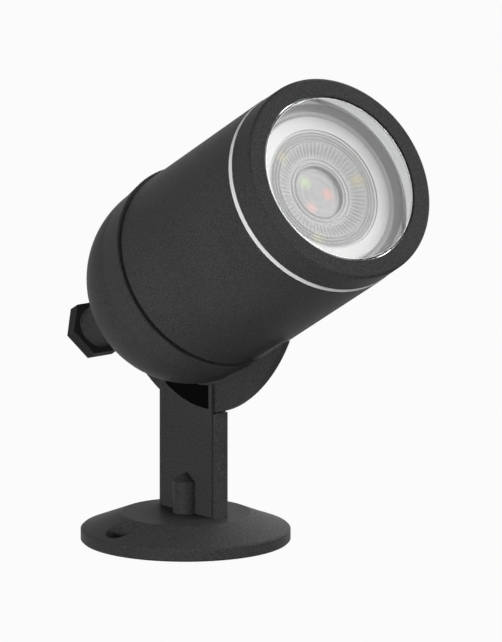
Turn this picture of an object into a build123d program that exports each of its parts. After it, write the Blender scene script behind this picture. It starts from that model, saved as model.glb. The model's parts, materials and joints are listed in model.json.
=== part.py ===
# Adjustable garden spotlight for one twist-lock reflector lamp, sizes in millimetres.
# Frame: origin at the bottom centre of the base plate, +Z up, the head points to -Y.
# The head tilts about an X axis through the centre of its round back.
import math
import os

from build123d import *

# Base plate
base_r = 33.25
base_edge_h = 4.25
base_h = 9.0
base_top_r = 20.6
base_edge_chamfer = 0.5
mount_spacing = 52.2
mount_hole_r = 2.5
mount_head_r = 4.95
mount_floor = 3.0

# Screw that holds the stem on the base
base_screw_r = 2.5
base_screw_head_r = 4.6
base_screw_head_h = 3.2
base_screw_up = 17.0
base_washer_r = 4.8
base_washer_t = 1.0
base_pocket_depth = 4.6

# Stem
stem_near_x = 0.5
stem_t = 5.5
stem_flat = 25.8
stem_drop = 25.0
stem_groove_w = 0.4
stem_groove_depth = 0.4
boss_r = 4.1
boss_shoulder_z = 19.4
boss_tip_z = 21.9

# Head placing
pivot_y = -2.9
pivot_z = 85.0
head_tilt = 31.2

# Rear cup, measured along the head's axis from the pivot
dome_step = 0.2
cup_wall = 2.0
cup_length = 10.6
cup_flare = 1.2
cup_lip_chamfer = 0.4

# Hinge fin under the cup, with its curved slot
fin_t = 2.65
fin_reach = 9.8
fin_front_extra = 20.0
fin_deep_gap = 0.4
fin_rear_angle = 117.0
fin_slot_step = 1.4
fin_slot_w = 6.4
fin_slot_front_angle = 19.0
fin_slot_rear_angle = 111.0

# Clamp that holds the fin in the stem
cheek_near_t = 0.8
window_reach = 7.9
window_shift = 5.5
window_rise = 0.2
window_front_y = -11.0
window_rear_y = 10.9
shoe_recess = 0.2
shoe_block_l = 5.0
clamp_y = 6.5
clamp_step = 2.6
clamp_r = 1.5
clamp_head_r = 2.75
clamp_head_h = 3.0
clamp_head_chamfer = 0.4
clamp_socket_af = 2.5
clamp_socket_depth = 1.6
clamp_washer_r = 3.5
clamp_washer_t = 1.0
clamp_tip_wall = 0.6

# Cable gland
gland_x = -12.2
neck_r = 6.75
neck_out = 4.3
neck_bore_r = 5.2
neck_bore_depth = 6.0
cable_r = 3.4
cable_hole_r = 3.9
gland_hex_r = 9.7
gland_hex_t = 4.0
gland_spigot_l = 2.6
gland_seal_l = 3.0

# Housing tube
tube_gap = 1.0
tube_flare = 0.8
tube_wall = 2.2
spigot_l = 8.0
spigot_wall = 3.6
o_ring_back = 4.6
o_ring_w = 1.9
o_ring_gap_w = 0.3
ledge_back = 2.9
ledge_t = 2.0
ledge_lap = 4.0

# Front end
seal_ring_w = 2.0
bezel_step = 0.2
bezel_l = 10.0
bezel_lip_t = 1.8
bezel_chamfer = 0.8
bezel_skirt_l = 7.0
bezel_skirt_wall = 1.6
glass_t = 4.0
glass_lap = 1.3
glass_space = 3.85
glass_seal_t = 1.6
glass_seal_step = 0.1
sleeve_wall = 1.5
sleeve_flange = 2.6
sleeve_front_step = 0.2
sleeve_taper_l = 3.4

# Lamp
lamp_l = 48.0
lamp_rim_r = 25.0
lamp_rim_l = 6.0
lamp_cone_l = 28.65
lamp_cone_r = 15.5
lamp_base_r = 13.5
lamp_edge_chamfer = 0.6
lamp_rim_w = 4.8
lamp_pocket_depth = 7.6
lens_recess = 0.4
lens_t = 4.2
lens_ridges = 3
lens_ridge_w = 0.9
lens_ridge_h = 0.5
lens_centre_r = 9.0
lens_centre_h = 1.2
board_t = 1.2
led_ring_r = 16.3
led_ring_count = 3
led_ring_angle = 6.0
led_size = 2.8
led_t = 0.7
led_inner_r = 5.0
led_inner_count = 3
led_inner_angle = -6.0
pin_spacing = 10.0
pin_r = 1.5
pin_l = 7.0
pin_head_r = 2.4
pin_head_l = 2.2
lamp_twist = 18.0

# Lamp holder and its plate
holder_r = 14.0
holder_h = 12.35
holder_slot_play = 0.35
holder_cap_t = 4.0
contact_t = 0.6
contact_gap = 0.2
plate_t = 1.5
plate_play = 3.2
plate_hole_r = 4.0
plate_hole_y = 18.0
plate_screw_inset = 2.0
plate_screw_r = 1.5
plate_screw_head_r = 2.6
plate_screw_head_h = 1.6
plate_screw_l = 5.0
holder_screw_radius = 11.0
holder_screw_l = 6.0
block_x = 28.0
block_y = 16.0
block_z = 12.0
block_ways = 3
block_screw_r = 1.9
block_screw_depth = 3.0
block_wire_r = 2.0

# Clearances
seat_gap = 0.02
thread_gap = 0.05
running_gap = 0.10
fin_gap = 0.15
dome_gap = 0.95
loose_gap = 0.30

# Radii from the lamp outwards
sleeve_in_r = lamp_rim_r + loose_gap
glass_r = sleeve_in_r + sleeve_wall + sleeve_flange
pocket_r = glass_r + running_gap
skirt_r = pocket_r + bezel_skirt_wall
tube_bore_r = skirt_r + running_gap
tube_rear_r = tube_bore_r + tube_wall
tube_front_r = tube_rear_r + tube_flare
bezel_r = tube_front_r - bezel_step
bezel_open_r = glass_r - glass_lap
glass_seal_in_r = bezel_open_r + glass_seal_step
sleeve_front_r = bezel_open_r - sleeve_front_step
dome_r = tube_rear_r - dome_step
cup_lip_r = dome_r + cup_flare
cup_bore_r = dome_r - cup_wall
spigot_r = cup_bore_r - running_gap
plate_r = tube_bore_r - plate_play
plate_screw_radius = plate_r - plate_screw_inset
ledge_in_r = plate_r - ledge_lap
lamp_pocket_r = lamp_rim_r - lamp_rim_w
lens_r = lamp_pocket_r - running_gap

# Stations along the head, from the cup to the front
neck_end = dome_r + neck_out
tube_start = cup_length + tube_gap
o_ring_station = tube_start - o_ring_back
ledge_station = tube_start + ledge_back
plate_rear = ledge_station + ledge_t
plate_front = plate_rear + plate_t
holder_front = plate_front + holder_h
slot_cap_back = holder_front - holder_cap_t
lamp_base_end = holder_front + loose_gap
pin_end = lamp_base_end - pin_l
contact_front = pin_end - contact_gap
contact_back = contact_front - contact_t
lamp_front = lamp_base_end + lamp_l
lamp_rim_back = lamp_front - lamp_rim_l
lamp_cone_back = lamp_rim_back - lamp_cone_l
lens_front = lamp_front - lens_recess
lens_back = lens_front - lens_t
board_back = lamp_front - lamp_pocket_depth
board_front = board_back + board_t
glass_back = lamp_front + glass_space
glass_front = glass_back + glass_t
glass_seal_back = glass_back - glass_seal_t
bezel_front = glass_front + bezel_lip_t
bezel_back = bezel_front - bezel_l
skirt_back = bezel_back - bezel_skirt_l
tube_end = bezel_back - seal_ring_w

# Stem, fin and clamp
stem_top = pivot_z - stem_drop
stem_mid_x = stem_near_x + stem_t / 2
stem_far_x = stem_near_x + stem_t
slot_near_x = stem_near_x + cheek_near_t
fin_near_x = slot_near_x + fin_gap
slot_far_x = fin_near_x + fin_t + fin_gap
fin_arc_r = dome_r + fin_reach
fin_front_r = fin_arc_r + fin_front_extra
fin_deep_r = fin_arc_r + fin_deep_gap
fin_slot_in = dome_r + fin_slot_step
fin_slot_out = fin_slot_in + fin_slot_w
window_arc_r = dome_r + window_reach
window_arc_y = pivot_y - window_shift
window_arc_z = pivot_z + window_rise
window_w = window_rear_y - window_front_y
window_mid_y = (window_rear_y + window_front_y) / 2
clamp_reach = fin_slot_in + clamp_step
below = (Align.CENTER, Align.MAX)

# Planes and axes of the head
tilt_cos = math.cos(math.radians(head_tilt))
tilt_sin = math.sin(math.radians(head_tilt))
pivot = Vector(0, pivot_y, pivot_z)
head_dir = Vector(0, -tilt_cos, tilt_sin)
head_up = Vector(0, tilt_sin, tilt_cos)
head_axis = Axis(pivot, head_dir)
head_plane = Plane(origin=pivot, x_dir=(1, 0, 0), z_dir=head_dir)
head_profile = Plane(origin=pivot, x_dir=head_up, z_dir=(1, 0, 0))
gland_origin = pivot + Vector(gland_x, 0, 0)
gland_axis = Axis(gland_origin, head_dir)
gland_plane = Plane(origin=gland_origin, x_dir=(1, 0, 0), z_dir=head_dir)
gland_profile = Plane(origin=gland_origin, x_dir=head_up, z_dir=(1, 0, 0))
shoe_spot = Vector(0, clamp_y, pivot_z - math.sqrt(clamp_reach**2 - (clamp_y - pivot_y) ** 2))


def fin_plane(x):
    """Plane square to the tilt axis: its x runs along the head, its y away below it."""
    return Plane(origin=(x, pivot_y, pivot_z), x_dir=head_dir, z_dir=(1, 0, 0))


def tilt_plane(x):
    """Plane square to the tilt axis, level with the ground: its x is +Y and its y is +Z."""
    return Plane(origin=(x, pivot_y, pivot_z), x_dir=(0, 1, 0), z_dir=(1, 0, 0))


def turned(points, plane=head_profile, axis=head_axis, mode=Mode.ADD):
    """Turn a closed outline of (radius, station) points about an axis."""
    with BuildSketch(plane) as outline:
        with BuildLine():
            Polyline(*points, close=True)
        make_face()
    revolve(outline.sketch, axis=axis, mode=mode)


def ring(r_in, r_out, start, end, plane=head_profile, axis=head_axis, mode=Mode.ADD):
    """Turn a plain ring, or a disc where the inner radius is zero."""
    turned([(r_in, start), (r_out, start), (r_out, end), (r_in, end)], plane, axis, mode)


def swing(radius, angle):
    """Point of the fin's plane at an angle behind the lowest line of the head."""
    turn = math.radians(angle)
    return (-radius * math.sin(turn), radius * math.cos(turn))


def arc_band(r_in, r_out, start, end):
    """Closed outline between two arcs about the tilt axis."""
    middle = (start + end) / 2
    with BuildLine() as outline:
        ThreePointArc(swing(r_out, start), swing(r_out, middle), swing(r_out, end))
        Line(swing(r_out, end), swing(r_in, end))
        ThreePointArc(swing(r_in, end), swing(r_in, middle), swing(r_in, start))
        Line(swing(r_in, start), swing(r_out, start))
    make_face(outline.edges())


def finish(builder, name):
    """Label a finished piece and write it out."""
    builder.part.label = name
    export_step(builder.part, f"parts/{name}.step")


os.makedirs("parts", exist_ok=True)
base_profile = Plane.XZ
up_axis = Axis.Z

# Base plate: a low cone with two sunk screw holes and a pocket below for the stem's screw
with BuildPart() as base_plate:
    turned(
        [
            (0, 0),
            (base_r - base_edge_chamfer, 0),
            (base_r, base_edge_chamfer),
            (base_r, base_edge_h - base_edge_chamfer),
            (base_r - base_edge_chamfer, base_edge_h),
            (base_top_r, base_h),
            (0, base_h),
        ],
        base_profile,
        up_axis,
    )
    with BuildSketch(Plane.XY):
        with GridLocations(mount_spacing, 0, 2, 1):
            Circle(mount_hole_r)
    extrude(amount=base_h, mode=Mode.SUBTRACT)
    with BuildSketch(Plane.XY.offset(mount_floor)):
        with GridLocations(mount_spacing, 0, 2, 1):
            Circle(mount_head_r)
    extrude(amount=base_h, mode=Mode.SUBTRACT)
    ring(0, base_screw_r + loose_gap, 0, base_h, base_profile, up_axis, Mode.SUBTRACT)
    ring(0, base_washer_r + loose_gap, 0, base_pocket_depth, base_profile, up_axis, Mode.SUBTRACT)
finish(base_plate, "base_plate")

with BuildPart() as base_washer:
    ring(
        base_screw_r + thread_gap,
        base_washer_r,
        base_pocket_depth - base_washer_t,
        base_pocket_depth - seat_gap,
        base_profile,
        up_axis,
    )
finish(base_washer, "base_washer")

screw_head_top = base_pocket_depth - base_washer_t
with BuildPart() as base_screw:
    ring(0, base_screw_head_r, screw_head_top - base_screw_head_h, screw_head_top, base_profile, up_axis)
    ring(0, base_screw_r, screw_head_top, base_screw_up, base_profile, up_axis)
    with BuildSketch(Plane.XY.offset(screw_head_top - base_screw_head_h)):
        RegularPolygon(base_screw_r, 6)
    extrude(amount=base_screw_head_h / 2, mode=Mode.SUBTRACT)
finish(base_screw, "base_screw")

# Stem: a round-edged blade with a pointed screw boss, forked above for the hinge fin
with BuildPart() as stem:
    with BuildSketch(Plane.XY.offset(base_h)):
        with Locations((stem_mid_x, 0)):
            SlotCenterToCenter(stem_flat, stem_t, rotation=90)
    extrude(amount=stem_top - base_h)
    turned(
        [
            (0, base_h),
            (boss_r, base_h),
            (boss_r, boss_shoulder_z),
            (0, boss_tip_z),
        ],
        base_profile,
        up_axis,
    )
    ring(
        0,
        base_screw_r + thread_gap,
        base_h,
        base_screw_up + loose_gap,
        base_profile,
        up_axis,
        Mode.SUBTRACT,
    )
    # Shadow line where the flat of the near side meets its round front edge
    with BuildSketch(Plane.XY.offset(base_h)):
        with Locations((stem_near_x, -stem_flat / 2)):
            Rectangle(2 * stem_groove_depth, stem_groove_w)
    extrude(amount=stem_top - base_h, mode=Mode.SUBTRACT)
    # Room for the round back of the head
    with Locations(pivot):
        Sphere(dome_r + dome_gap, mode=Mode.SUBTRACT)
    # The round front edge stops below the fin
    with BuildSketch(tilt_plane(stem_near_x)):
        Circle(fin_deep_r)
        with Locations((-stem_flat / 2 - pivot_y, 0)):
            Rectangle(
                3 * fin_deep_r,
                3 * fin_deep_r,
                align=(Align.MIN, Align.CENTER),
                mode=Mode.SUBTRACT,
            )
    extrude(amount=stem_t, mode=Mode.SUBTRACT)
    # Slot for the fin
    with BuildSketch(tilt_plane(slot_near_x)):
        Circle(fin_deep_r)
    extrude(amount=slot_far_x - slot_near_x, mode=Mode.SUBTRACT)
    # Window in the near cheek for the clamp shoe
    with BuildSketch(Plane(origin=(stem_near_x, 0, 0), x_dir=(0, 1, 0), z_dir=(1, 0, 0))):
        with Locations((window_arc_y, window_arc_z)):
            Circle(window_arc_r)
        with Locations((window_mid_y, window_arc_z)):
            Rectangle(window_w, window_arc_r, align=below, mode=Mode.INTERSECT)
    extrude(amount=cheek_near_t, mode=Mode.SUBTRACT)
    # Hole for the clamp bolt in the far cheek
    with BuildSketch(Plane(origin=(slot_far_x, 0, 0), x_dir=(0, 1, 0), z_dir=(1, 0, 0))):
        with Locations((shoe_spot.Y, shoe_spot.Z)):
            Circle(clamp_r + thread_gap)
    extrude(amount=stem_far_x - slot_far_x, mode=Mode.SUBTRACT)
finish(stem, "stem")

# Clamp shoe: fills the window and reaches through the fin's slot, bored for the clamp bolt
with BuildPart() as clamp_shoe:
    with BuildSketch(Plane(origin=(stem_near_x + shoe_recess, 0, 0), x_dir=(0, 1, 0), z_dir=(1, 0, 0))):
        with Locations((window_arc_y, window_arc_z)):
            Circle(window_arc_r - running_gap)
        with Locations((window_mid_y, window_arc_z)):
            Rectangle(window_w - 2 * running_gap, window_arc_r, align=below, mode=Mode.INTERSECT)
    extrude(amount=cheek_near_t - shoe_recess)
    with BuildSketch(tilt_plane(slot_near_x)):
        Circle(fin_slot_out - loose_gap)
        Circle(fin_slot_in + loose_gap, mode=Mode.SUBTRACT)
        with Locations((clamp_y - pivot_y, 0)):
            Rectangle(shoe_block_l, fin_slot_out, align=below, mode=Mode.INTERSECT)
    extrude(amount=slot_far_x - slot_near_x - seat_gap)
    with Locations(pivot):
        Sphere(dome_r + dome_gap, mode=Mode.SUBTRACT)
    shoe_bore_start = stem_near_x + shoe_recess + clamp_tip_wall
    with BuildSketch(Plane(origin=(shoe_bore_start, 0, 0), x_dir=(0, 1, 0), z_dir=(1, 0, 0))):
        with Locations((shoe_spot.Y, shoe_spot.Z)):
            Circle(clamp_r + thread_gap)
    extrude(amount=stem_t, mode=Mode.SUBTRACT)
finish(clamp_shoe, "clamp_shoe")

clamp_head_x = stem_far_x + clamp_washer_t


def clamp_face(x):
    """Plane square to the clamp bolt, centred on it."""
    return Plane(origin=(x, shoe_spot.Y, shoe_spot.Z), x_dir=(0, 1, 0), z_dir=(1, 0, 0))


with BuildPart() as clamp_washer:
    with BuildSketch(clamp_face(stem_far_x + seat_gap)):
        Circle(clamp_washer_r)
        Circle(clamp_r + thread_gap, mode=Mode.SUBTRACT)
    extrude(amount=clamp_washer_t - 2 * seat_gap)
finish(clamp_washer, "clamp_washer")

with BuildPart() as clamp_bolt:
    with BuildSketch(clamp_face(shoe_bore_start + loose_gap)):
        Circle(clamp_r)
    extrude(amount=clamp_head_x - shoe_bore_start - loose_gap)
    with BuildSketch(clamp_face(clamp_head_x)):
        Circle(clamp_head_r)
    extrude(amount=clamp_head_h)
    chamfer(clamp_bolt.faces().sort_by(Axis.X)[-1].edges(), clamp_head_chamfer)
    with BuildSketch(clamp_face(clamp_head_x + clamp_head_h)):
        RegularPolygon(clamp_socket_af / 2, 6, major_radius=False)
    extrude(amount=-clamp_socket_depth, mode=Mode.SUBTRACT)
finish(clamp_bolt, "clamp_bolt")

# Rear cup: round back, cable neck and slotted hinge fin in one casting
with BuildPart() as rear_cup:
    with BuildSketch(fin_plane(fin_near_x)):
        front_centre = fin_arc_r - fin_front_r
        front_end = math.sqrt(fin_front_r**2 - (cup_bore_r - front_centre) ** 2)
        front_mid = front_end / 2
        with BuildLine():
            ThreePointArc(
                swing(fin_arc_r, 0),
                (front_mid, front_centre + math.sqrt(fin_front_r**2 - front_mid**2)),
                (front_end, cup_bore_r),
            )
            Line((front_end, cup_bore_r), (0, 0))
            Line((0, 0), swing(fin_arc_r, fin_rear_angle))
            ThreePointArc(
                swing(fin_arc_r, fin_rear_angle),
                swing(fin_arc_r, fin_rear_angle / 2),
                swing(fin_arc_r, 0),
            )
        make_face()
    extrude(amount=fin_t)
    with BuildSketch(fin_plane(fin_near_x)):
        arc_band(fin_slot_in, fin_slot_out, fin_slot_front_angle, fin_slot_rear_angle)
    extrude(amount=fin_t, mode=Mode.SUBTRACT)
    # The fin reaches forward below the tube, clear of it
    ring(0, tube_front_r + loose_gap, cup_length, tube_end, mode=Mode.SUBTRACT)
    with BuildSketch(gland_plane.offset(-neck_end)):
        Circle(neck_r)
    extrude(amount=neck_end)
    with BuildSketch(head_profile):
        with BuildLine():
            half = math.sqrt(0.5)
            ThreePointArc((0, -dome_r), (dome_r * half, -dome_r * half), (dome_r, 0))
            Polyline(
                (dome_r, 0),
                (cup_lip_r, cup_length - cup_lip_chamfer),
                (cup_lip_r - cup_lip_chamfer, cup_length),
                (0, cup_length),
                (0, -dome_r),
            )
        make_face()
    revolve(axis=head_axis)
    with BuildSketch(head_profile):
        with BuildLine():
            ThreePointArc((0, -cup_bore_r), (cup_bore_r * half, -cup_bore_r * half), (cup_bore_r, 0))
            Polyline((cup_bore_r, 0), (cup_bore_r, cup_length), (0, cup_length), (0, -cup_bore_r))
        make_face()
    revolve(axis=head_axis, mode=Mode.SUBTRACT)
    with BuildSketch(gland_plane.offset(-neck_end)):
        Circle(neck_bore_r)
    extrude(amount=neck_bore_depth, mode=Mode.SUBTRACT)
    with BuildSketch(gland_plane.offset(-neck_end)):
        Circle(cable_hole_r)
    extrude(amount=neck_end, mode=Mode.SUBTRACT)
finish(rear_cup, "rear_cup")

# Cable gland: a rubber seal pressed down by a hexagon nut
seal_back = neck_bore_depth - neck_end
with BuildPart() as gland_seal:
    ring(
        cable_r + running_gap,
        neck_bore_r - seat_gap,
        seal_back - gland_seal_l,
        seal_back - seat_gap,
        gland_profile,
        gland_axis,
    )
finish(gland_seal, "gland_seal")

with BuildPart() as gland_nut:
    with BuildSketch(gland_plane.offset(-neck_end - running_gap)):
        RegularPolygon(gland_hex_r, 6)
    extrude(amount=-gland_hex_t)
    with BuildSketch(gland_plane.offset(-neck_end - running_gap)):
        Circle(neck_bore_r - running_gap)
    extrude(amount=gland_spigot_l)
    with BuildSketch(gland_plane.offset(-neck_end - gland_hex_t - running_gap)):
        Circle(cable_r)
    extrude(amount=gland_hex_t + gland_spigot_l + running_gap, mode=Mode.SUBTRACT)
finish(gland_nut, "gland_nut")

# Housing tube: slightly tapered outside, with a spigot for the cup and a ledge inside
spigot_start = tube_start - spigot_l
spigot_in_r = spigot_r - spigot_wall
groove_half = o_ring_w / 2 + o_ring_gap_w
groove_r = cup_bore_r - o_ring_w - 2 * seat_gap
with BuildPart() as housing_tube:
    turned(
        [
            (spigot_in_r, spigot_start),
            (spigot_r, spigot_start),
            (spigot_r, tube_start),
            (tube_rear_r, tube_start),
            (tube_front_r, tube_end),
            (tube_bore_r, tube_end),
            (tube_bore_r, plate_rear),
            (ledge_in_r, plate_rear),
            (ledge_in_r, ledge_station),
            (spigot_in_r, ledge_station),
        ]
    )
    ring(
        groove_r,
        cup_bore_r,
        o_ring_station - groove_half,
        o_ring_station + groove_half,
        mode=Mode.SUBTRACT,
    )
    with BuildSketch(head_plane.offset(ledge_station)):
        with GridLocations(2 * plate_screw_radius, 0, 2, 1):
            Circle(plate_screw_r + thread_gap)
    extrude(amount=ledge_t, mode=Mode.SUBTRACT)
finish(housing_tube, "housing_tube")

with BuildPart() as rear_o_ring:
    with BuildSketch(head_profile):
        with Locations((cup_bore_r - o_ring_w / 2 - seat_gap, o_ring_station)):
            Circle(o_ring_w / 2)
    revolve(axis=head_axis)
finish(rear_o_ring, "rear_o_ring")

# Front end: white seal ring, bezel, glass with its gasket, and the sleeve round the lamp
with BuildPart() as seal_ring:
    ring(skirt_r + loose_gap, tube_front_r - running_gap, tube_end + seat_gap, bezel_back - running_gap)
finish(seal_ring, "seal_ring")

with BuildPart() as front_bezel:
    turned(
        [
            (bezel_open_r, bezel_front),
            (bezel_r - bezel_chamfer, bezel_front),
            (bezel_r, bezel_front - bezel_chamfer),
            (bezel_r, bezel_back),
            (skirt_r, bezel_back),
            (skirt_r, skirt_back),
            (pocket_r, skirt_back),
            (pocket_r, glass_front),
            (bezel_open_r, glass_front),
        ]
    )
finish(front_bezel, "front_bezel")

with BuildPart() as cover_glass:
    ring(0, glass_r, glass_back, glass_front - seat_gap)
finish(cover_glass, "cover_glass")

with BuildPart() as glass_gasket:
    ring(glass_seal_in_r, glass_r, glass_seal_back + seat_gap, glass_back - seat_gap)
finish(glass_gasket, "glass_gasket")

taper_end = glass_seal_back - sleeve_taper_l
with BuildPart() as lamp_sleeve:
    turned(
        [
            (sleeve_front_r, glass_seal_back),
            (glass_r, glass_seal_back),
            (glass_r, glass_seal_back - sleeve_wall),
            (sleeve_front_r, glass_seal_back - sleeve_wall),
            (sleeve_in_r + sleeve_wall, taper_end - sleeve_wall),
            (sleeve_in_r + sleeve_wall, skirt_back),
            (sleeve_in_r, skirt_back),
            (sleeve_in_r, taper_end),
        ]
    )
finish(lamp_sleeve, "lamp_sleeve")

# Lamp: moulded body, circuit board with its chips, ridged lens and two locking pins
with BuildPart() as lamp_body:
    turned(
        [
            (0, lamp_base_end),
            (lamp_base_r, lamp_base_end),
            (lamp_base_r, lamp_cone_back),
            (lamp_cone_r, lamp_cone_back),
            (lamp_rim_r, lamp_rim_back),
            (lamp_rim_r, lamp_front - lamp_edge_chamfer),
            (lamp_rim_r - lamp_edge_chamfer, lamp_front),
            (lamp_pocket_r, lamp_front),
            (lamp_pocket_r, board_back),
            (0, board_back),
        ]
    )
finish(lamp_body, "lamp_body")

with BuildPart() as lamp_board:
    ring(0, lamp_pocket_r - running_gap, board_back + seat_gap, board_front)
finish(lamp_board, "lamp_board")

with BuildPart() as lamp_leds:
    with BuildSketch(head_plane.offset(board_front + seat_gap)):
        with PolarLocations(led_ring_r, led_ring_count, led_ring_angle):
            Rectangle(led_size, led_size)
        with PolarLocations(led_inner_r, led_inner_count, led_inner_angle):
            Rectangle(led_size, led_size)
    extrude(amount=led_t)
finish(lamp_leds, "lamp_leds")

lens_outline = [(0, lens_back), (lens_r, lens_back), (lens_r, lens_front)]
for ridge in range(lens_ridges):
    ridge_r = lens_r - (2 * ridge + 1) * lens_ridge_w
    lens_outline.append((ridge_r, lens_front))
    lens_outline.append((ridge_r, lens_front - lens_ridge_h))
    lens_outline.append((ridge_r - lens_ridge_w, lens_front - lens_ridge_h))
    lens_outline.append((ridge_r - lens_ridge_w, lens_front))
lens_outline.append((lens_centre_r + lens_centre_h, lens_front))
lens_outline.append((lens_centre_r, lens_front - lens_centre_h))
lens_outline.append((0, lens_front - lens_centre_h))
with BuildPart() as lamp_lens:
    turned(lens_outline)
finish(lamp_lens, "lamp_lens")

with BuildPart() as lamp_pins:
    with BuildSketch(head_plane.offset(lamp_base_end - seat_gap)):
        with GridLocations(pin_spacing, 0, 2, 1):
            Circle(pin_r)
    extrude(amount=-pin_l)
    with BuildSketch(head_plane.offset(pin_end)):
        with GridLocations(pin_spacing, 0, 2, 1):
            Circle(pin_head_r)
    extrude(amount=pin_head_l)
finish(lamp_pins, "lamp_pins")

# Lamp holder: two keyhole slots let the pins in and lock them with a twist
pin_circle_r = pin_spacing / 2
pin_angles = (0, 180)
pin_paths = [CenterArc((0, 0), pin_circle_r, angle, lamp_twist) for angle in pin_angles]


def pin_slots(width):
    """Two curved slots on the circle of the pins, as long as the lamp's twist."""
    for path in pin_paths:
        SlotArc(path, width)


with BuildPart() as lamp_holder:
    ring(0, holder_r, plate_front + seat_gap, holder_front)
    with BuildSketch(head_plane.offset(slot_cap_back)):
        pin_slots(2 * (pin_r + holder_slot_play))
        for angle in pin_angles:
            with PolarLocations(pin_circle_r, 1, start_angle=angle + lamp_twist):
                Circle(pin_head_r + holder_slot_play)
    extrude(amount=holder_cap_t, mode=Mode.SUBTRACT)
    with BuildSketch(head_plane.offset(contact_back)):
        pin_slots(2 * (pin_head_r + holder_slot_play))
    extrude(amount=slot_cap_back - contact_back, mode=Mode.SUBTRACT)
    with BuildSketch(head_plane.offset(plate_front)):
        with GridLocations(0, 2 * holder_screw_radius, 1, 2):
            Circle(plate_screw_r + thread_gap)
    extrude(amount=holder_screw_l, mode=Mode.SUBTRACT)
finish(lamp_holder, "lamp_holder")

with BuildPart() as holder_contacts:
    with BuildSketch(head_plane.offset(contact_back + seat_gap)):
        pin_slots(2 * pin_head_r)
    extrude(amount=contact_t - seat_gap)
finish(holder_contacts, "holder_contacts")

with BuildPart() as holder_plate:
    with BuildSketch(head_plane.offset(plate_rear + seat_gap)):
        Circle(plate_r)
        with GridLocations(2 * plate_screw_radius, 0, 2, 1):
            Circle(plate_screw_r + thread_gap, mode=Mode.SUBTRACT)
        with GridLocations(0, 2 * holder_screw_radius, 1, 2):
            Circle(plate_screw_r + thread_gap, mode=Mode.SUBTRACT)
        with GridLocations(0, 2 * plate_hole_y, 1, 2):
            Circle(plate_hole_r, mode=Mode.SUBTRACT)
    extrude(amount=plate_t - seat_gap)
finish(holder_plate, "holder_plate")


def pan_screws(spots, seat, direction, length):
    """Screws with a flat round head; the head stands off the seat against the direction."""
    with BuildSketch(head_plane.offset(seat - direction * seat_gap)) as heads:
        with Locations(*spots):
            Circle(plate_screw_head_r)
    extrude(heads.sketch, amount=-direction * plate_screw_head_h)
    with BuildSketch(head_plane.offset(seat - direction * seat_gap)) as shanks:
        with Locations(*spots):
            Circle(plate_screw_r)
    extrude(shanks.sketch, amount=direction * length)


with BuildPart() as plate_screws:
    pan_screws([(plate_screw_radius, 0), (-plate_screw_radius, 0)], plate_front, -1, plate_screw_l)
finish(plate_screws, "plate_screws")

with BuildPart() as holder_screws:
    pan_screws([(0, holder_screw_radius), (0, -holder_screw_radius)], plate_rear, 1, holder_screw_l)
finish(holder_screws, "holder_screws")

# Terminal block on the back of the plate
block_back = plate_rear - block_z
block_pitch = block_x / block_ways
block_wire_station = block_back + block_screw_depth + block_wire_r + loose_gap
with BuildPart() as terminal_block:
    with BuildSketch(head_plane.offset(block_back)):
        Rectangle(block_x, block_y)
    extrude(amount=block_z)
    with BuildSketch(head_plane.offset(block_back)):
        with GridLocations(block_pitch, 0, block_ways, 1):
            Circle(block_screw_r + thread_gap)
    extrude(amount=block_screw_depth, mode=Mode.SUBTRACT)
    with BuildSketch(Plane(origin=pivot, x_dir=(1, 0, 0), z_dir=head_up)):
        with Locations((0, -block_wire_station)):
            with GridLocations(block_pitch, 0, block_ways, 1):
                Circle(block_wire_r)
    extrude(amount=block_y, both=True, mode=Mode.SUBTRACT)
finish(terminal_block, "terminal_block")

with BuildPart() as terminal_screws:
    with BuildSketch(head_plane.offset(block_back + loose_gap)):
        with GridLocations(block_pitch, 0, block_ways, 1):
            Circle(block_screw_r)
    extrude(amount=block_screw_depth - loose_gap - seat_gap)
finish(terminal_screws, "terminal_screws")
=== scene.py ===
import json
import math

import bmesh
import bpy
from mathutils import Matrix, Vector


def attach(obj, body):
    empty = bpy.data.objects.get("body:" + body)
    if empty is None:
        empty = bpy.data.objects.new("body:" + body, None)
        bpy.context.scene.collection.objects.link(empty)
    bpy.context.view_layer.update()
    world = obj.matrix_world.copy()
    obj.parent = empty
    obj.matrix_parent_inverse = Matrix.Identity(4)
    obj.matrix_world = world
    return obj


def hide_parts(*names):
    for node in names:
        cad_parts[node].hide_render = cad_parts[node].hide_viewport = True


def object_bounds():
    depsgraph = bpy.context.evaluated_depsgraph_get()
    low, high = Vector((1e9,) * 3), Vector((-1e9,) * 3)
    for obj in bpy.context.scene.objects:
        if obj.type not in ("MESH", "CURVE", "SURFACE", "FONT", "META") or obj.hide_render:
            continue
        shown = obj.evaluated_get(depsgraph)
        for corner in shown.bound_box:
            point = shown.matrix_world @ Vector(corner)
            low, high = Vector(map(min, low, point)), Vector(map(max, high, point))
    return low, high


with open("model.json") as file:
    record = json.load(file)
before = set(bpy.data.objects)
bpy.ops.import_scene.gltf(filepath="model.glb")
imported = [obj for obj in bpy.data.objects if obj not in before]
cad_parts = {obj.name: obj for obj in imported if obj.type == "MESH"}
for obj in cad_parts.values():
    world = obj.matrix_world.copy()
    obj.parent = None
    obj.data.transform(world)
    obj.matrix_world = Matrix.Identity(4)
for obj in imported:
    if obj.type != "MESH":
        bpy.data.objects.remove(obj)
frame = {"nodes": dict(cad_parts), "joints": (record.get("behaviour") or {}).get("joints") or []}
cad_box = [list(corner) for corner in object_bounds()]
nodes = frame["nodes"]
joints = {joint["name"]: joint for joint in frame["joints"]}
MM = 0.001
WHITE = (1, 1, 1, 1)

# The head's own directions, from the joints
pivot = Vector(joints["head_tilt"]["pos_m"])
head_dir = Vector(joints["lamp_twist"]["axis"]).normalized()
head_side = Vector((1, 0, 0))
head_up = head_dir.cross(head_side)


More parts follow.
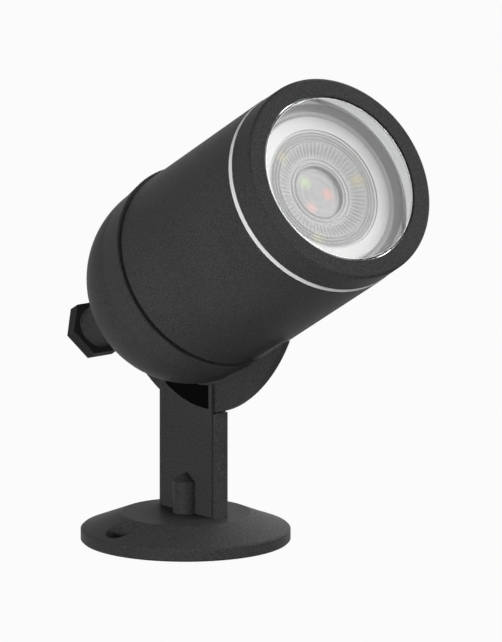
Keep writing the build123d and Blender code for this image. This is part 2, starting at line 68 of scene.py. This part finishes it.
def head_point(radius, angle, station):
    """Point at a radius and angle round the head's axis, at a station along it, in metres."""
    out = head_side * math.cos(angle) + head_up * math.sin(angle)
    return pivot + head_dir * station + out * radius


def head_span(node):
    """First station, last station and outer radius of a CAD node about the head's axis."""
    offsets = [vertex.co - pivot for vertex in nodes[node].data.vertices]
    along = [offset.dot(head_dir) for offset in offsets]
    radius = max((offset - head_dir * s).length for offset, s in zip(offsets, along))
    return min(along), max(along), radius


def axis_place(point):
    """Distance of a point from the head's axis, and its angle round it."""
    offset = point - pivot
    side = offset.dot(head_side)
    up = offset.dot(head_up)
    return math.hypot(side, up), math.atan2(up, side)


def add_object(name, mesh, body):
    """Link a new mesh as a piece that rides on a body."""
    piece = bpy.data.objects.new(name, mesh)
    bpy.context.scene.collection.objects.link(piece)
    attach(piece, body)
    return piece


SHARP_ANGLE = math.radians(40)


def lathe(name, profile, segments, wave=None):
    """Closed mesh turned about the head's axis from (radius, station) points, with poles at radius 0.
    The wave, where given, lifts each point in front of the first one by its radius and angle."""
    work = bmesh.new()
    rings = []
    for radius, station in profile:
        if radius == 0:
            rings.append([work.verts.new(head_point(0, 0, station))])
            continue
        ring = []
        for step in range(segments):
            angle = 2 * math.pi * step / segments
            lift = wave(radius, angle) if wave and station > profile[0][1] else 0
            ring.append(work.verts.new(head_point(radius, angle, station + lift)))
        rings.append(ring)
    for first, second in zip(rings, rings[1:]):
        for step in range(segments):
            after = (step + 1) % segments
            if len(first) == 1:
                work.faces.new((first[0], second[step], second[after]))
            elif len(second) == 1:
                work.faces.new((first[step], second[0], first[after]))
            else:
                work.faces.new((first[step], second[step], second[after], first[after]))
    bmesh.ops.recalc_face_normals(work, faces=work.faces)
    for face in work.faces:
        face.smooth = True
    mesh = bpy.data.meshes.new(name)
    work.to_mesh(mesh)
    work.free()
    mesh.set_sharp_from_angle(angle=SHARP_ANGLE)
    return mesh


def feed(tree, socket, value):
    """Link a pattern to a socket, or set a number, vector or colour on it."""
    if isinstance(value, bpy.types.NodeSocket):
        tree.links.new(value, socket)
    else:
        socket.default_value = value


def arithmetic(tree, kind, operation, operands):
    """Outputs of a new math node of that kind, fed with patterns or constants."""
    node = tree.nodes.new(kind)
    node.operation = operation
    for socket, operand in zip(node.inputs, operands):
        feed(tree, socket, operand)
    return node.outputs


def reckon(tree, operation, *operands):
    """One step of arithmetic on numbers."""
    return arithmetic(tree, "ShaderNodeMath", operation, operands)["Value"]


def mix_shaders(tree, output, share, first, second):
    """Give an output node the mix of two shaders, with the share of the second one from a pattern."""
    mix = tree.nodes.new("ShaderNodeMixShader")
    for socket, source in zip(mix.inputs, (share, first, second)):
        tree.links.new(source, socket)
    tree.links.new(mix.outputs["Shader"], tree.nodes[output].inputs["Surface"])


# Range that most of a noise pattern lies in
NOISE_LOW = 0.3
NOISE_HIGH = 0.7


class Finish:
    """A material with one Principled shader, and short ways to drive it from patterns."""

    def __init__(self, name, **sockets):
        self.material = bpy.data.materials.new(name)
        self.material.use_nodes = True
        self.tree = self.material.node_tree
        self.shader = self.tree.nodes["Principled BSDF"]
        self.place = self.tree.nodes.new("ShaderNodeTexCoord").outputs["Object"]
        self.normal = None
        for socket, value in sockets.items():
            self.shader.inputs[socket.replace("_", " ")].default_value = value

    def reckon(self, operation, *operands):
        """One step of arithmetic on numbers."""
        return reckon(self.tree, operation, *operands)

    def vectors(self, operation, *operands):
        """One step of arithmetic on vectors, with the outputs Vector and Value."""
        return arithmetic(self.tree, "ShaderNodeVectorMath", operation, operands)

    def noise(self, cells, detail=2.0, squeeze=None):
        """Noise of that many cells to the metre, made shorter along each axis by the squeeze."""
        node = self.tree.nodes.new("ShaderNodeTexNoise")
        node.inputs["Scale"].default_value = cells
        node.inputs["Detail"].default_value = detail
        source = self.vectors("MULTIPLY", self.place, squeeze)["Vector"] if squeeze else self.place
        self.tree.links.new(source, node.inputs["Vector"])
        return node.outputs["Fac"]

    def scatter(self, cells):
        """Distance to the nearest of scattered points, that many to the metre."""
        node = self.tree.nodes.new("ShaderNodeTexVoronoi")
        node.inputs["Scale"].default_value = cells
        self.tree.links.new(self.place, node.inputs["Vector"])
        return node.outputs["Distance"]

    def stripes(self, count):
        """Even stripes round the head's axis, from 0 to 1."""
        offset = self.vectors("SUBTRACT", self.place, pivot)["Vector"]
        up = self.vectors("DOT_PRODUCT", offset, head_up)["Value"]
        side = self.vectors("DOT_PRODUCT", offset, head_side)["Value"]
        turn = self.reckon("MULTIPLY", self.reckon("ARCTAN2", up, side), count)
        return self.spread(self.reckon("COSINE", turn), 0.0, 1.0, low=-1.0, high=1.0)

    def radial(self, origin, inner_r, outer_r, inner=0.0, outer=1.0):
        """A number that runs from inner to outer between two radii round the line along the head
        through a point."""
        offset = self.vectors("SUBTRACT", self.place, origin)["Vector"]
        across = self.vectors("CROSS_PRODUCT", offset, head_dir)["Vector"]
        distance = self.vectors("LENGTH", across)["Value"]
        return self.spread(distance, inner, outer, inner_r, outer_r)

    def spread(self, value, to_low, to_high, low=NOISE_LOW, high=NOISE_HIGH):
        """A pattern's range from low to high mapped to another range of numbers."""
        node = self.tree.nodes.new("ShaderNodeMapRange")
        self.tree.links.new(value, node.inputs["Value"])
        for socket, number in zip(("From Min", "From Max", "To Min", "To Max"), (low, high, to_low, to_high)):
            node.inputs[socket].default_value = number
        return node.outputs["Result"]

    def ramp(self, value, stops):
        """A pattern as a run of colours, from (position, colour) stops."""
        node = self.tree.nodes.new("ShaderNodeValToRGB")
        elements = node.color_ramp.elements
        elements.remove(elements[1])
        for number, (position, colour) in enumerate(stops):
            element = elements[0] if number == 0 else elements.new(position)
            element.position = position
            element.color = (*colour, 1)
        self.tree.links.new(value, node.inputs["Fac"])
        return node.outputs["Color"]

    def greys(self, value, stops):
        """A pattern as a run of greys, from (position, level) stops."""
        return self.ramp(value, [(position, (level, level, level)) for position, level in stops])

    def tint(self, value, dark, light, low=NOISE_LOW, high=NOISE_HIGH):
        """A pattern as a run between two colours."""
        return self.ramp(value, [(low, dark), (high, light)])

    def shades(self, value, colour, darkest, lightest):
        """A pattern as a run between two shades of a colour, each a factor of it."""
        return self.tint(value, scaled(colour, darkest), scaled(colour, lightest))

    def blend(self, share, first, second, mode="MIX"):
        """Two colours mixed by a pattern, or by a fixed share."""
        node = self.tree.nodes.new("ShaderNodeMix")
        node.data_type = "RGBA"
        node.blend_type = mode
        for socket, value in (("Factor", share), ("A", first), ("B", second)):
            feed(self.tree, node.inputs[socket], value)
        return node.outputs["Result"]

    def drive(self, socket, value):
        """Link a pattern to a socket of the shader."""
        self.tree.links.new(value, self.shader.inputs[socket])

    def roughen(self, value, smoothest, roughest, low=NOISE_LOW, high=NOISE_HIGH):
        """Vary the roughness by a pattern."""
        self.drive("Roughness", self.spread(value, smoothest, roughest, low, high))

    def bump(self, value, height, strength):
        """Raise the surface by a pattern, on top of any bump before it."""
        node = self.tree.nodes.new("ShaderNodeBump")
        node.inputs["Distance"].default_value = height
        node.inputs["Strength"].default_value = strength
        self.tree.links.new(value, node.inputs["Height"])
        if self.normal:
            self.tree.links.new(self.normal, node.inputs["Normal"])
        self.normal = node.outputs["Normal"]
        self.drive("Normal", self.normal)

    def see_through(self, ior, cover):
        """Clear but for the gloss of its outer faces, or for the cover pattern where that is more."""
        fresnel = self.tree.nodes.new("ShaderNodeFresnel")
        fresnel.inputs["IOR"].default_value = ior
        inner_face = self.tree.nodes.new("ShaderNodeNewGeometry").outputs["Backfacing"]
        outer_face = self.reckon("SUBTRACT", 1, inner_face)
        gloss = self.reckon("MULTIPLY", fresnel.outputs["Fac"], outer_face)
        share = self.reckon("MAXIMUM", gloss, cover)
        clear = self.tree.nodes.new("ShaderNodeBsdfTransparent").outputs["BSDF"]
        mix_shaders(self.tree, "Material Output", share, clear, self.shader.outputs["BSDF"])


def scaled(colour, factor):
    """A colour times a factor."""
    return tuple(channel * factor for channel in colour)


COAT_CLOUD_SHARE = 0.3
MOULDED_UNEVENNESS = 0.06
METAL_UNEVENNESS = 0.1
SLEEVE_RING_R = 26.1 * MM
SLEEVE_RING_SOFT = 0.25 * MM


def powder_coat(name, colour):
    """Matt powder coat: fine grain in colour, gloss and height, with faint cloudy patches."""
    finish = Finish(name, Specular_IOR_Level=0.02)
    grain = finish.noise(cells=1900)
    cloud = finish.noise(cells=42, detail=4.0)
    speck = finish.scatter(cells=1500)
    grained = finish.shades(grain, colour, darkest=0.55, lightest=1.45)
    clouded = finish.shades(cloud, colour, darkest=0.8, lightest=1.2)
    finish.drive("Base Color", finish.blend(COAT_CLOUD_SHARE, grained, clouded))
    finish.roughen(grain, smoothest=0.40, roughest=0.52)
    finish.bump(speck, height=0.08 * MM, strength=0.5)
    finish.bump(grain, height=0.14 * MM, strength=0.8)
    return finish.material


def moulded(name, colour, roughness, specular=0.4):
    """Moulded plastic or rubber: a soft orange-peel surface and a little unevenness of colour."""
    finish = Finish(name, Specular_IOR_Level=specular)
    peel = finish.noise(cells=700)
    cloud = finish.noise(cells=90, detail=3.0)
    finish.drive("Base Color", finish.shades(cloud, colour, darkest=0.92, lightest=1.06))
    finish.roughen(peel, roughness - MOULDED_UNEVENNESS, roughness + MOULDED_UNEVENNESS)
    finish.bump(peel, height=0.04 * MM, strength=0.15)
    return finish.material


def metal(name, colour, roughness):
    """Drawn or plated metal: long fine scratches and patches of duller plating."""
    finish = Finish(name, Metallic=1.0)
    scratch = finish.noise(cells=500, detail=3.0, squeeze=(1, 14, 1))
    patch = finish.noise(cells=120, detail=3.0)
    finish.drive("Base Color", finish.shades(patch, colour, darkest=0.8, lightest=1.0))
    finish.roughen(scratch, roughness - METAL_UNEVENNESS, roughness + METAL_UNEVENNESS)
    finish.bump(scratch, height=0.02 * MM, strength=0.2)
    return finish.material


def ringed_sleeve(name, pale, grey):
    """Satin plastic sleeve with a paler ring round its narrow end."""
    finish = Finish(name, Specular_IOR_Level=0.5)
    peel = finish.noise(cells=700)
    beyond_ring = finish.radial(pivot, SLEEVE_RING_R, SLEEVE_RING_R + SLEEVE_RING_SOFT)
    finish.drive("Base Color", finish.tint(beyond_ring, pale, grey, low=0.0, high=1.0))
    finish.roughen(peel, smoothest=0.28, roughest=0.4)
    finish.bump(peel, height=0.03 * MM, strength=0.12)
    return finish.material


def circuit_board(name, dark, light):
    """White solder mask with raised tracks below it."""
    finish = Finish(name, Specular_IOR_Level=0.5)
    track = finish.scatter(cells=260)
    finish.drive("Base Color", finish.tint(track, dark, light, low=0.1, high=0.45))
    finish.roughen(track, smoothest=0.35, roughest=0.5, low=0.1, high=0.5)
    finish.bump(track, height=0.05 * MM, strength=0.3)
    return finish.material


# Finishes of the CAD nodes
COAT = (0.050, 0.050, 0.051)
NYLON = (0.03, 0.03, 0.031)
# The shoe's near-black colour is painted shade: far darker than black nylon, so that it reads as deep shadow
# where it shows
SHOE_PAINTED_SHADE = (0.0015, 0.0015, 0.0015)
BLACK_STEEL = (0.05, 0.05, 0.055)
ZINC = (0.62, 0.62, 0.6)
RUBBER = (0.025, 0.025, 0.025)
SILICONE = (0.84, 0.84, 0.83)
SLEEVE_PALE = (0.56, 0.56, 0.555)
SLEEVE_GREY = (0.24, 0.24, 0.236)
LAMP = (0.62, 0.62, 0.615)
BOARD_DARK = (0.7, 0.71, 0.68)
BOARD_LIGHT = (0.84, 0.84, 0.81)
CHIP = (0.8, 0.79, 0.74)
BRASS = (0.72, 0.53, 0.24)
ALLOY = (0.66, 0.66, 0.65)
CERAMIC = (0.78, 0.77, 0.73)
BLOCK = (0.76, 0.76, 0.74)
coated = ["base_plate", "stem", "rear_cup", "housing_tube", "front_bezel"]
zinc_plated = ["base_screw", "base_washer", "plate_screws", "holder_screws"]
finishes = {
    powder_coat("Powder_coat", COAT): coated,
    moulded("Black_nylon", NYLON, roughness=0.6, specular=0.03): ["gland_nut"],
    # The shoe's colour is painted shade
    moulded("Shoe_nylon_painted_shade", SHOE_PAINTED_SHADE, roughness=0.8, specular=0.02): ["clamp_shoe"],
    metal("Black_steel", BLACK_STEEL, roughness=0.45): ["clamp_bolt", "clamp_washer"],
    metal("Zinc_steel", ZINC, roughness=0.35): zinc_plated,
    moulded("Black_rubber", RUBBER, roughness=0.75, specular=0.3): ["gland_seal", "rear_o_ring"],
    moulded("White_silicone", SILICONE, roughness=0.5): ["seal_ring", "glass_gasket"],
    ringed_sleeve("Silver_plastic", SLEEVE_PALE, SLEEVE_GREY): ["lamp_sleeve"],
    moulded("Lamp_white", LAMP, roughness=0.35, specular=0.5): ["lamp_body"],
    circuit_board("Board_white", BOARD_DARK, BOARD_LIGHT): ["lamp_board"],
    moulded("Chip_white", CHIP, roughness=0.4): ["lamp_leds"],
    metal("Brass", BRASS, roughness=0.3): ["lamp_pins", "holder_contacts", "terminal_screws"],
    metal("Plate_alloy", ALLOY, roughness=0.4): ["holder_plate"],
    moulded("Ceramic", CERAMIC, roughness=0.8, specular=0.3): ["lamp_holder"],
    moulded("Block_plastic", BLOCK, roughness=0.5): ["terminal_block"],
}
for finish_material, names in finishes.items():
    for node_name in names:
        nodes[node_name].data.materials.clear()
        nodes[node_name].data.materials.append(finish_material)

# Front glass: a disc with a stepped, polished edge that stands in the bezel's opening
GLASS_STEP_R = 27.8 * MM
GLASS_STEP_H = 1.5 * MM
GLASS_BEVEL = 0.5 * MM
GLASS_EDGE_W = 0.6 * MM
GLASS_EDGE_R = GLASS_STEP_R - GLASS_EDGE_W
GLASS_EDGE_SOFT = 0.15 * MM
GLASS_EDGE_SHARE = 0.7
GLASS_HAZE = 0.02
GLASS_IOR = 1.4
GLASS_GLOSS = (0.93, 0.94, 0.935, 1)
GLASS_SEGMENTS = 192


def clear_glass(name):
    """Polished clear glass with a trace of dust and a pale edge. Its shader stands for the gloss and the
    pale edge alone, so it is a mirror."""
    finish = Finish(name, Base_Color=GLASS_GLOSS, Metallic=1.0)
    dust = finish.noise(cells=160, detail=5.0)
    finish.roughen(dust, smoothest=0.0, roughest=0.03, low=0.45, high=0.8)
    edge_end = GLASS_EDGE_R + GLASS_EDGE_SOFT
    cover = finish.radial(pivot, GLASS_EDGE_R, edge_end, inner=GLASS_HAZE, outer=GLASS_EDGE_SHARE)
    finish.see_through(GLASS_IOR, cover)
    return finish.material


glass_back, glass_front, glass_r = head_span("cover_glass")
glass_profile = [
    (0, glass_back),
    (glass_r, glass_back),
    (glass_r, glass_front),
    (GLASS_STEP_R, glass_front),
    (GLASS_STEP_R, glass_front + GLASS_STEP_H - GLASS_BEVEL),
    (GLASS_STEP_R - GLASS_BEVEL, glass_front + GLASS_STEP_H),
    (0, glass_front + GLASS_STEP_H),
]
glass_mesh = lathe("front_glass", glass_profile, GLASS_SEGMENTS)
front_glass = add_object("front_glass", glass_mesh, "bezel")
front_glass.data.materials.append(clear_glass("Clear_glass"))
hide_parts("cover_glass")

# Light chips: at their places the lens gets a painted glow in the chips' colours, standing for their light
# seen through it, shifted to where the camera's side sees them
CHIP_JOIN = 0.01 * MM
PAINTED_GLOW_SHIFT_SIDE = -1.4 * MM
PAINTED_GLOW_SHIFT_UP = -0.5 * MM
INNER_PAINTED_GLOW_COLOURS = [(0.8, 0.24, 0.2), (0.5, 0.68, 0.28), (0.76, 0.34, 0.32)]
OUTER_PAINTED_GLOW_COLOURS = [(0.72, 0.62, 0.26), (0.66, 0.6, 0.36), (0.66, 0.6, 0.36)]


def solid_centres(node):
    """Middle of each separate solid in a CAD node."""
    work = bmesh.new()
    work.from_mesh(nodes[node].data)
    bmesh.ops.remove_doubles(work, verts=work.verts, dist=CHIP_JOIN)
    left = set(work.verts)
    centres = []
    while left:
        reached = [left.pop()]
        for vertex in reached:
            for edge in vertex.link_edges:
                other = edge.other_vert(vertex)
                if other in left:
                    left.remove(other)
                    reached.append(other)
        centres.append(sum((vertex.co for vertex in reached), Vector()) / len(reached))
    work.free()
    return centres


def from_side_to_side(points):
    """Points round the head's axis in order from its +X side to its -X side."""
    return sorted(points, key=lambda point: math.cos(axis_place(point)[1]), reverse=True)


chips = sorted(solid_centres("lamp_leds"), key=lambda point: axis_place(point)[0])
inner_count = len(INNER_PAINTED_GLOW_COLOURS)
ordered_chips = from_side_to_side(chips[:inner_count]) + from_side_to_side(chips[inner_count:])
painted_glow_shift = head_side * PAINTED_GLOW_SHIFT_SIDE + head_up * PAINTED_GLOW_SHIFT_UP
painted_chip_glows = [(chip + painted_glow_shift, colour) for chip, colour in zip(ordered_chips, INNER_PAINTED_GLOW_COLOURS + OUTER_PAINTED_GLOW_COLOURS)]

# Lamp lens: ring grooves at the edge, a band of radial ribs, stepped rings and a bulged centre
LENS_GROOVE_END = 16.2 * MM
LENS_GROOVE_PITCH = 1.1 * MM
LENS_GROOVE_DEPTH = 0.45 * MM
LENS_EDGE_W = 0.6 * MM
RIB_COUNT = 64
RIB_END = 11.4 * MM
RIB_DEPTH = 0.4 * MM
RIB_DROP = 1.9 * MM
STEP_END = 8.6 * MM
STEP_PITCH = 1.4 * MM
STEP_DEPTH = 0.5 * MM
CENTRE_DROP = 3.4 * MM
CENTRE_RISE = 0.5 * MM
CENTRE_RINGS_PITCH = 2.1 * MM
CENTRE_RINGS_DEPTH = 0.06 * MM
LENS_STEP = 0.15 * MM
LENS_SEGMENTS = 6 * RIB_COUNT
# Tones of the lens: (share of its radius, level) for its rings and for how much painted shade lies in the rib
# valleys
LENS_GREYS = [
    (0.0, 0.24), (0.1, 0.22), (0.17, 0.24), (0.25, 0.22), (0.33, 0.27), (0.4, 0.24), (0.44, 0.33),
    (0.5, 0.42), (0.8, 0.48), (0.82, 0.3), (0.84, 0.41), (0.865, 0.27), (0.885, 0.41), (0.91, 0.27),
    (0.93, 0.41), (0.955, 0.3), (0.975, 0.42), (1.0, 0.42),
]
LENS_PAINTED_RIB_SHADE_SHARES = [(0.5, 0.0), (0.58, 0.7), (0.76, 1.0), (0.81, 0.0)]
LENS_PAINTED_RIB_SHADE = (0.7, 0.7, 0.69, 1)
# Painted glow of each chip on the lens: its share at the core, the radius where it is full and the radius
# where it fades out
PAINTED_GLOW_SHARE = 0.5
PAINTED_GLOW_CORE_R = 0.6 * MM
PAINTED_GLOW_R = 3.0 * MM
lens_back, lens_front, lens_r = head_span("lamp_lens")


def frosted_lens(name, painted_glow_spots):
    """Frosted plastic lens: rings, painted shade in the rib valleys, and a soft painted glow of colour over
    each (place, colour) spot.
    """
    finish = Finish(name, Specular_IOR_Level=0.5)
    frost = finish.noise(cells=1800)
    radius = finish.radial(pivot, 0.0, lens_r)
    rings = finish.greys(radius, LENS_GREYS)
    # Painted shade: the colour is darkened along the rib valleys
    painted_rib_shade = finish.reckon("MULTIPLY", finish.stripes(RIB_COUNT), finish.greys(radius, LENS_PAINTED_RIB_SHADE_SHARES))
    colour = finish.blend(painted_rib_shade, rings, LENS_PAINTED_RIB_SHADE, "MULTIPLY")
    for place, tone in painted_glow_spots:
        # Each chip's colour is painted as a soft glow on the lens around it
        near = finish.radial(place, PAINTED_GLOW_CORE_R, PAINTED_GLOW_R, inner=PAINTED_GLOW_SHARE, outer=0.0)
        colour = finish.blend(near, colour, finish.shades(frost, tone, darkest=0.96, lightest=1.0))
    finish.drive("Base Color", colour)
    finish.roughen(frost, smoothest=0.22, roughest=0.34)
    return finish.material


def lens_station(radius):
    """Station of the lens face at a radius, without its ribs."""
    if radius > LENS_GROOVE_END:
        turn = 2 * math.pi * (lens_r - LENS_EDGE_W - radius) / LENS_GROOVE_PITCH
        return lens_front - LENS_GROOVE_DEPTH * (1 - math.cos(turn)) / 2
    if radius > RIB_END:
        return lens_front - RIB_DROP * (LENS_GROOVE_END - radius) / (LENS_GROOVE_END - RIB_END)
    if radius > STEP_END:
        turn = 2 * math.pi * (RIB_END - radius) / STEP_PITCH
        return lens_front - RIB_DROP - STEP_DEPTH * (1 - math.cos(turn)) / 2
    bulge = CENTRE_RISE * (1 - (radius / STEP_END) ** 2)
    ripple = CENTRE_RINGS_DEPTH * math.cos(2 * math.pi * radius / CENTRE_RINGS_PITCH)
    return lens_front - CENTRE_DROP + bulge + ripple


def lens_ribs(radius, angle):
    """Height of the radial ribs, which fade out at both ends of their band."""
    if not RIB_END < radius < LENS_GROOVE_END:
        return 0
    share = (radius - RIB_END) / (LENS_GROOVE_END - RIB_END)
    return -RIB_DEPTH * math.sqrt(math.sin(math.pi * share)) * (1 + math.cos(RIB_COUNT * angle)) / 2


face_r = lens_r - LENS_EDGE_W
ring_count = int(face_r / LENS_STEP)
lens_profile = [(0, lens_back), (lens_r, lens_back), (lens_r, lens_front)]
for ring_number in range(ring_count):
    ring_r = face_r * (1 - ring_number / ring_count)
    lens_profile.append((ring_r, lens_station(ring_r)))
lens_profile.append((0, lens_station(0)))
lens_mesh = lathe("lens_face", lens_profile, LENS_SEGMENTS, lens_ribs)
lens_face = add_object("lens_face", lens_mesh, "lamp")
lens_face.data.materials.append(frosted_lens("Frosted_lens", painted_chip_glows))
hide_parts("lamp_lens")

# Camera, as the photo shows the object: angles in degrees, the aim in millimetres on the image plane and
# the distance in metres
PHOTO_AZIMUTH = -38.5
PHOTO_ELEVATION = 12.44
PHOTO_HEIGHT_PIXELS = 642
MM_PER_PIXEL = 0.3165
AIM_RIGHT = 20.69
AIM_UP = 69.19
CAMERA_DISTANCE = 2.0
azimuth = math.radians(PHOTO_AZIMUTH)
elevation = math.radians(PHOTO_ELEVATION)
flat = math.cos(elevation)
camera_back = Vector((math.sin(azimuth) * flat, -math.cos(azimuth) * flat, math.sin(elevation)))
camera_right = Vector((math.cos(azimuth), math.sin(azimuth), 0))
camera_up = camera_back.cross(camera_right)
aim = (camera_right * AIM_RIGHT + camera_up * AIM_UP) * MM
camera_data = bpy.data.cameras.new("camera")
camera_data.type = "ORTHO"
camera_data.ortho_scale = PHOTO_HEIGHT_PIXELS * MM_PER_PIXEL * MM
camera = bpy.data.objects.new("camera", camera_data)
camera.location = aim + camera_back * CAMERA_DISTANCE
camera.rotation_mode = "QUATERNION"
camera.rotation_quaternion = (-camera_back).to_track_quat("-Z", "Y")
bpy.context.scene.collection.objects.link(camera)
bpy.context.scene.camera = camera

# Any level between 0 and 1 tells a ray before its first matt bounce from one after it
BOUNCE_LEVEL = 0.5


def seen_directly(tree):
    """1 for rays from the camera, from gloss and through glass, 0 for light that a matt surface gathers."""
    path = tree.nodes.new("ShaderNodeLightPath").outputs
    seen = path["Is Camera Ray"]
    for kind in ("Is Glossy Ray", "Is Transmission Ray"):
        seen = reckon(tree, "MAXIMUM", seen, path[kind])
    unscattered = reckon(tree, "LESS_THAN", path["Diffuse Depth"], BOUNCE_LEVEL)
    return reckon(tree, "MULTIPLY", seen, unscattered)


def white_glow(node, strength):
    """Plain white light from a background or emission node."""
    node.inputs["Color"].default_value = WHITE
    node.inputs["Strength"].default_value = strength
    return node.outputs[0]


# World: white where it is seen, dim where it lights the object
AMBIENT = 0.04
world = bpy.data.worlds.new("studio")
world.use_nodes = True
bpy.context.scene.world = world
world_tree = world.node_tree
ambient = white_glow(world_tree.nodes["Background"], AMBIENT)
backdrop = white_glow(world_tree.nodes.new("ShaderNodeBackground"), strength=1.0)
mix_shaders(world_tree, "World Output", seen_directly(world_tree), ambient, backdrop)

# Floor: nearly white to the eye. Its dark paint takes the object's shadow and throws little light back up
FLOOR_SIZE = 12.0
FLOOR_DROP = 0.02 * MM
FLOOR_WHITE_SHARE = 0.96
FLOOR_DARK = (0.11, 0.11, 0.11)
FLOOR_LIGHT = (0.13, 0.13, 0.13)
floor_mesh = bpy.data.meshes.new("floor")
half = FLOOR_SIZE / 2
corners = [(-half, -half), (half, -half), (half, half), (-half, half)]
floor_mesh.from_pydata([(x, y, -FLOOR_DROP) for x, y in corners], [], [(0, 1, 2, 3)])
floor = bpy.data.objects.new("floor", floor_mesh)
bpy.context.scene.collection.objects.link(floor)
floor_paint = Finish("Floor_paint", Roughness=0.9, Specular_IOR_Level=0.0)
floor_grain = floor_paint.noise(cells=30, detail=3.0)
floor_paint.drive("Base Color", floor_paint.tint(floor_grain, FLOOR_DARK, FLOOR_LIGHT))
floor_tree = floor_paint.tree
floor_glow = white_glow(floor_tree.nodes.new("ShaderNodeEmission"), strength=1.0)
floor_share = reckon(floor_tree, "MULTIPLY", seen_directly(floor_tree), FLOOR_WHITE_SHARE)
mix_shaders(floor_tree, "Material Output", floor_share, floor_paint.shader.outputs["BSDF"], floor_glow)
floor_mesh.materials.append(floor_paint.material)


def softbox(name, target, direction, distance, size, power):
    """Square area lamp that faces a target from a direction, in metres and watts."""
    data = bpy.data.lights.new(name, "AREA")
    data.shape = "SQUARE"
    data.size = size
    data.energy = power
    lamp = bpy.data.objects.new(name, data)
    towards = Vector(direction).normalized()
    lamp.location = target + towards * distance
    lamp.rotation_mode = "QUATERNION"
    lamp.rotation_quaternion = (-towards).to_track_quat("-Z", "Y")
    bpy.context.scene.collection.objects.link(lamp)


# Lamps: a large one for the bezel's face and the lens, a faint one behind, a small near one low at the left
# for the head's flank, and one high at the right for the base
middle = (Vector(cad_box[0]) + Vector(cad_box[1])) / 2
head_front = head_point(0, 0, glass_front)
softbox("front", head_front, direction=(0.50, -0.66, 0.56), distance=1.0, size=1.0, power=12.0)
softbox("back", middle, direction=(-0.66, 0.70, 0.02), distance=1.0, size=0.5, power=0.2)
softbox("side", middle, direction=(-0.94, -0.28, -0.10), distance=0.45, size=0.10, power=1.6)
softbox("right", middle, direction=(0.75, 0.30, 0.45), distance=1.0, size=0.5, power=4.0)

bpy.context.scene.view_settings.view_transform = "Standard"
